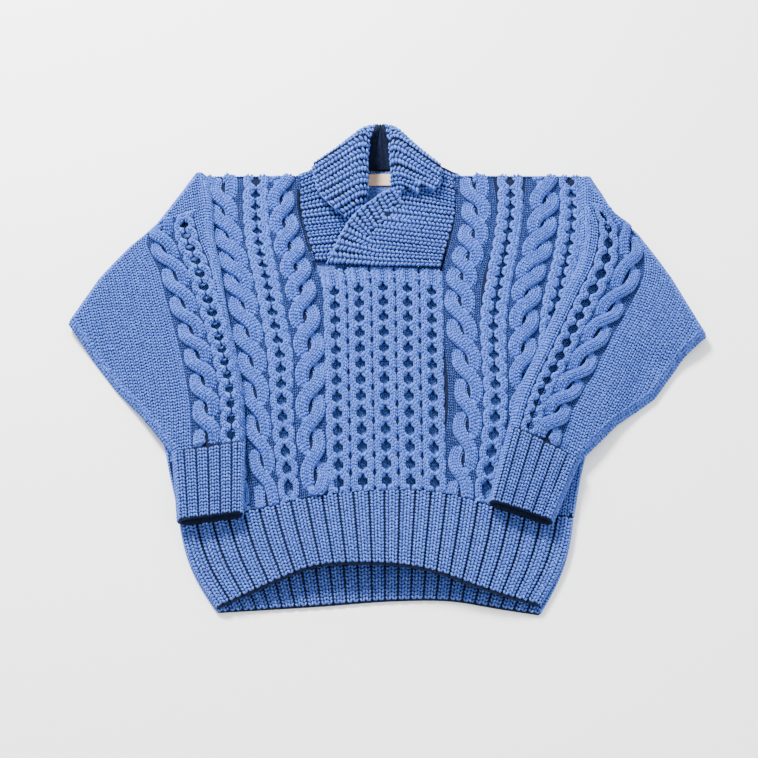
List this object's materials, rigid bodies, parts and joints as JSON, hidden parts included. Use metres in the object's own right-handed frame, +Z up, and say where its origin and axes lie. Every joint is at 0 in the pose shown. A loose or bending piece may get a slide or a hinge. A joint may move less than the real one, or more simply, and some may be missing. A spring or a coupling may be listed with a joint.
{
  "type": "shawl collar sweater",
  "caption": "Chunky hand-knit wool sweater laid flat: lapped ribbed shawl collar, eyelet lace and rope cable front, ribbed hem and cuffs, sleeves folded over the front.",
  "frame": {"origin": "bottom centre of the bounding box of the laid sweater, on the surface that it lies on", "axes": "+X across the sweater from sleeve to sleeve, to the right as seen from above with the collar at the top; +Y from the hem towards the collar; +Z up, off the surface"},
  "size_m": [0.873, 0.7406, 0.0517],
  "materials": {
    "wool": "matte heathered wool knit",
    "label_cloth": "smooth woven tape, blank"
  },
  "bodies": {
    "root": {"back": "wool", "back_fold_left": "wool", "back_fold_right": "wool", "back_rib": "wool", "collar": "wool", "cuff_left": "wool", "cuff_right": "wool", "front": "wool", "front_rib": "wool", "neck_label": "label_cloth", "sleeve_left": "wool", "sleeve_left_root": "wool", "sleeve_left_under": "wool", "sleeve_right": "wool", "sleeve_right_root": "wool", "sleeve_right_under": "wool"}
  },
  "joints": []
}
